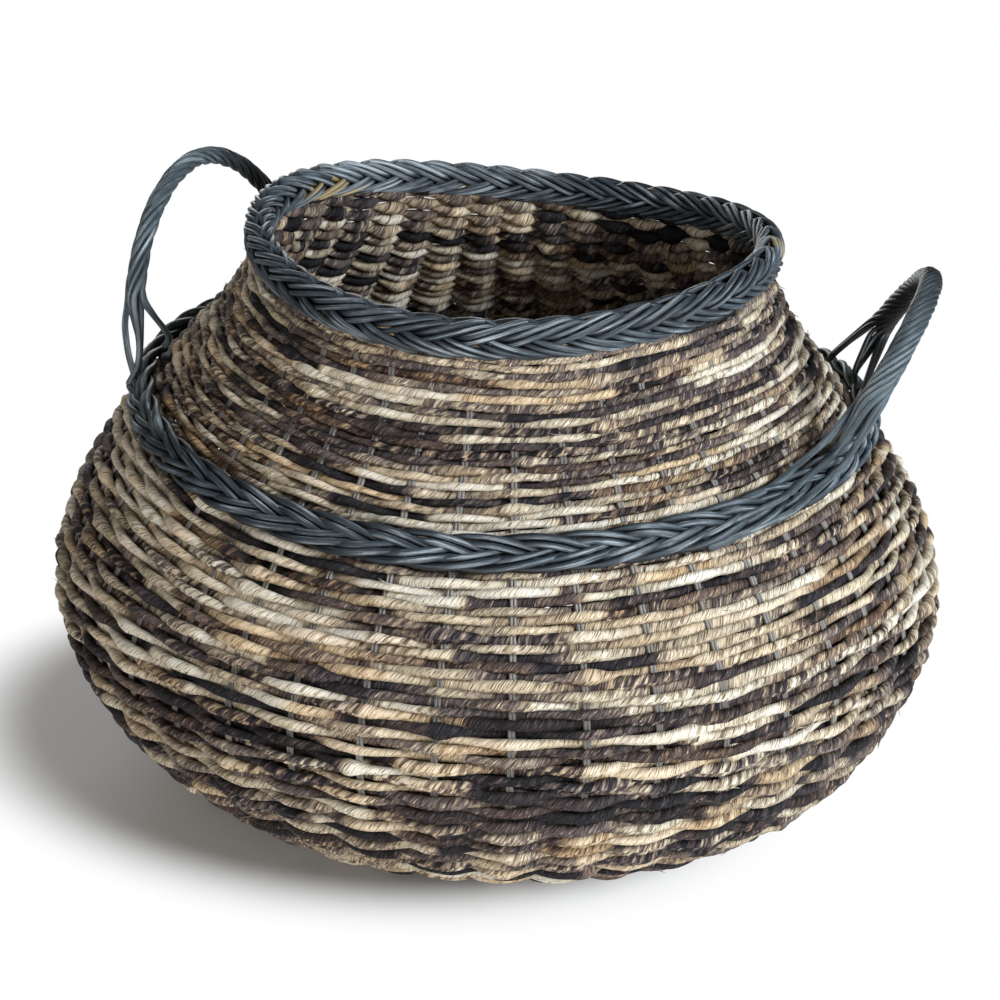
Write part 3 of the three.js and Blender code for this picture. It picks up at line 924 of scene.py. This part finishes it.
def make_handle(name, near_side, loop):
    """Bundle of rods twisted into a rope, bent to a loop and spread in legs at both feet"""
    courses = []
    for rod in range(loop["rods"]):
        radius = loop["rod"] * (1 + HANDLE_ROD_UNEVENNESS * rng.uniform(-1, 1))
        points = handle_course(loop, near_side, rod)
        near_to_far = np.linspace(0, 1, len(points))
        bare_by = np.clip(drift(lengths_along(points), HANDLE_BARE_DRIFT) - HANDLE_BARE_OVER, 0, 1)
        # the far half of the handle is darkened with painted shade
        courses.append({"points": points, "radius": radius,
                        "rub_and_shade": np.interp(near_to_far, (0.5, 0.75), (1.0, HANDLE_FAR_SHADE)),
                        "bare": HANDLE_BARENESS * bare_by})
    middle = np.mean([course["points"] for course in courses], axis=0)
    for course in courses:
        course["out"] = unit(course["points"] - middle)
    finish_rods(name, courses, handle_look, strand_names(name))


make_weave()
make_stakes()
make_heart()
make_rim()
make_band()
make_handle("right_handle", -1, RIGHT_HANDLE)
make_handle("left_handle", 1, LEFT_HANDLE)


# Floor, light and camera

FLOOR_COLOUR = (0.9, 0.9, 0.9, 1)
WHITE = (1, 1, 1, 1)
# The floor fades to white over an oval ring: shift and shares of the oval, and where the ring starts and ends
FADE_SHIFT = (0.061, 0.02, 0)
FADE_OVAL = (0.76, 1, 1)
FADE_FROM = 0.155
FADE_TO = 0.215
SKY_LIGHT = 0.13  # light from the surroundings, which the camera sees as plain white


def floor_finish():
    """Pale floor that fades to plain white away from the basket"""
    finish, tree, shader = new_finish("pale_floor")
    shader.inputs["Base Color"].default_value = FLOOR_COLOUR
    shader.inputs["Roughness"].default_value = 0.9
    shader.inputs["Specular IOR Level"].default_value = 0.0
    where = node(tree, "ShaderNodeTexCoord").outputs["Object"]
    oval = node(tree, "ShaderNodeMapping", {"Vector": where, "Location": FADE_SHIFT, "Scale": FADE_OVAL})
    length = node(tree, "ShaderNodeVectorMath", {0: oval.outputs[0]}, operation="LENGTH")
    ring = {"Value": length.outputs["Value"], "From Min": FADE_FROM, "From Max": FADE_TO}
    far = node(tree, "ShaderNodeMapRange", ring, interpolation_type="SMOOTHSTEP").outputs["Result"]
    seen = node(tree, "ShaderNodeLightPath").outputs["Is Camera Ray"]
    white = node(tree, "ShaderNodeEmission", {"Color": WHITE, "Strength": 1.0})
    share = math_node(tree, "MULTIPLY", far, seen)
    mixed = node(tree, "ShaderNodeMixShader", {0: share, 1: shader.outputs[0], 2: white.outputs[0]})
    tree.links.new(mixed.outputs[0], tree.nodes["Material Output"].inputs["Surface"])
    return finish


def make_floor():
    shape = bmesh.new()
    bmesh.ops.create_grid(shape, x_segments=1, y_segments=1, size=6)
    mesh = bpy.data.meshes.new("floor")
    shape.to_mesh(mesh)
    shape.free()
    mesh.materials.append(floor_finish())
    floor = bpy.data.objects.new("floor", mesh)
    bpy.context.scene.collection.objects.link(floor)


def make_world():
    world = bpy.data.worlds.new("studio")
    bpy.context.scene.world = world
    world.use_nodes = True
    tree = world.node_tree
    seen = node(tree, "ShaderNodeLightPath").outputs["Is Camera Ray"]
    background = tree.nodes["Background"]
    background.inputs["Color"].default_value = WHITE
    strength = node(tree, "ShaderNodeMapRange", {"Value": seen, "To Min": SKY_LIGHT, "To Max": 1.0})
    tree.links.new(strength.outputs["Result"], background.inputs["Strength"])


def make_lamp(name, place, aim, size, power, hue):
    """Round soft lamp that faces a point"""
    lamp = bpy.data.lights.new(name, "AREA")
    lamp.shape = "DISK"
    lamp.size = size
    lamp.energy = power
    lamp.color = hue
    holder = bpy.data.objects.new(name, lamp)
    turned = (aim - place).to_track_quat("-Z", "Y").to_matrix().to_4x4()
    holder.matrix_world = Matrix.Translation(place) @ turned
    bpy.context.scene.collection.objects.link(holder)


# Angles in degrees; the lens and the sensor in millimetres
CAMERA_AZIMUTH = 17
CAMERA_ELEVATION = 24
CAMERA_DISTANCE = 1.196
CAMERA_ROLL = 2.0
CAMERA_TILT = 0.86
CAMERA_LENS = 71.9
CAMERA_SENSOR = 36
VIEW_CENTRE = Vector((0, 0, 0.143))


def make_camera():
    """Camera at the photograph's place, tilted a little up and leaning a little"""
    azimuth = math.radians(CAMERA_AZIMUTH)
    elevation = math.radians(CAMERA_ELEVATION)
    back = Vector((math.sin(azimuth) * math.cos(elevation), -math.cos(azimuth) * math.cos(elevation),
                   math.sin(elevation)))
    data = bpy.data.cameras.new("camera")
    data.lens = CAMERA_LENS
    data.sensor_width = CAMERA_SENSOR
    camera = bpy.data.objects.new("camera", data)
    stand = Matrix.Translation(VIEW_CENTRE + CAMERA_DISTANCE * back)
    turned = (-back).to_track_quat("-Z", "Y").to_matrix().to_4x4()
    tilt = Matrix.Rotation(math.radians(CAMERA_TILT), 4, "X")
    roll = Matrix.Rotation(math.radians(CAMERA_ROLL), 4, "Z")
    camera.matrix_world = stand @ turned @ (tilt @ roll)
    bpy.context.scene.collection.objects.link(camera)
    bpy.context.scene.camera = camera


COOL_LIGHT = (0.88, 0.945, 1.0)
WARM_LIGHT = (1.0, 0.95, 0.88)
PLAIN_LIGHT = (1.0, 1.0, 1.0)
LAMP_AIM = Vector((0, 0, 0.15))

make_floor()
make_world()
make_lamp("key", Vector((1.75, -0.75, 1.15)), LAMP_AIM, 0.8, 47, COOL_LIGHT)
make_lamp("front", Vector((0.2, -2.0, 0.45)), LAMP_AIM, 1.0, 14, WARM_LIGHT)
make_lamp("back", Vector((-0.9, 1.6, 0.6)), LAMP_AIM, 1.2, 16, PLAIN_LIGHT)
make_camera()
bpy.context.scene.view_settings.view_transform = "Standard"
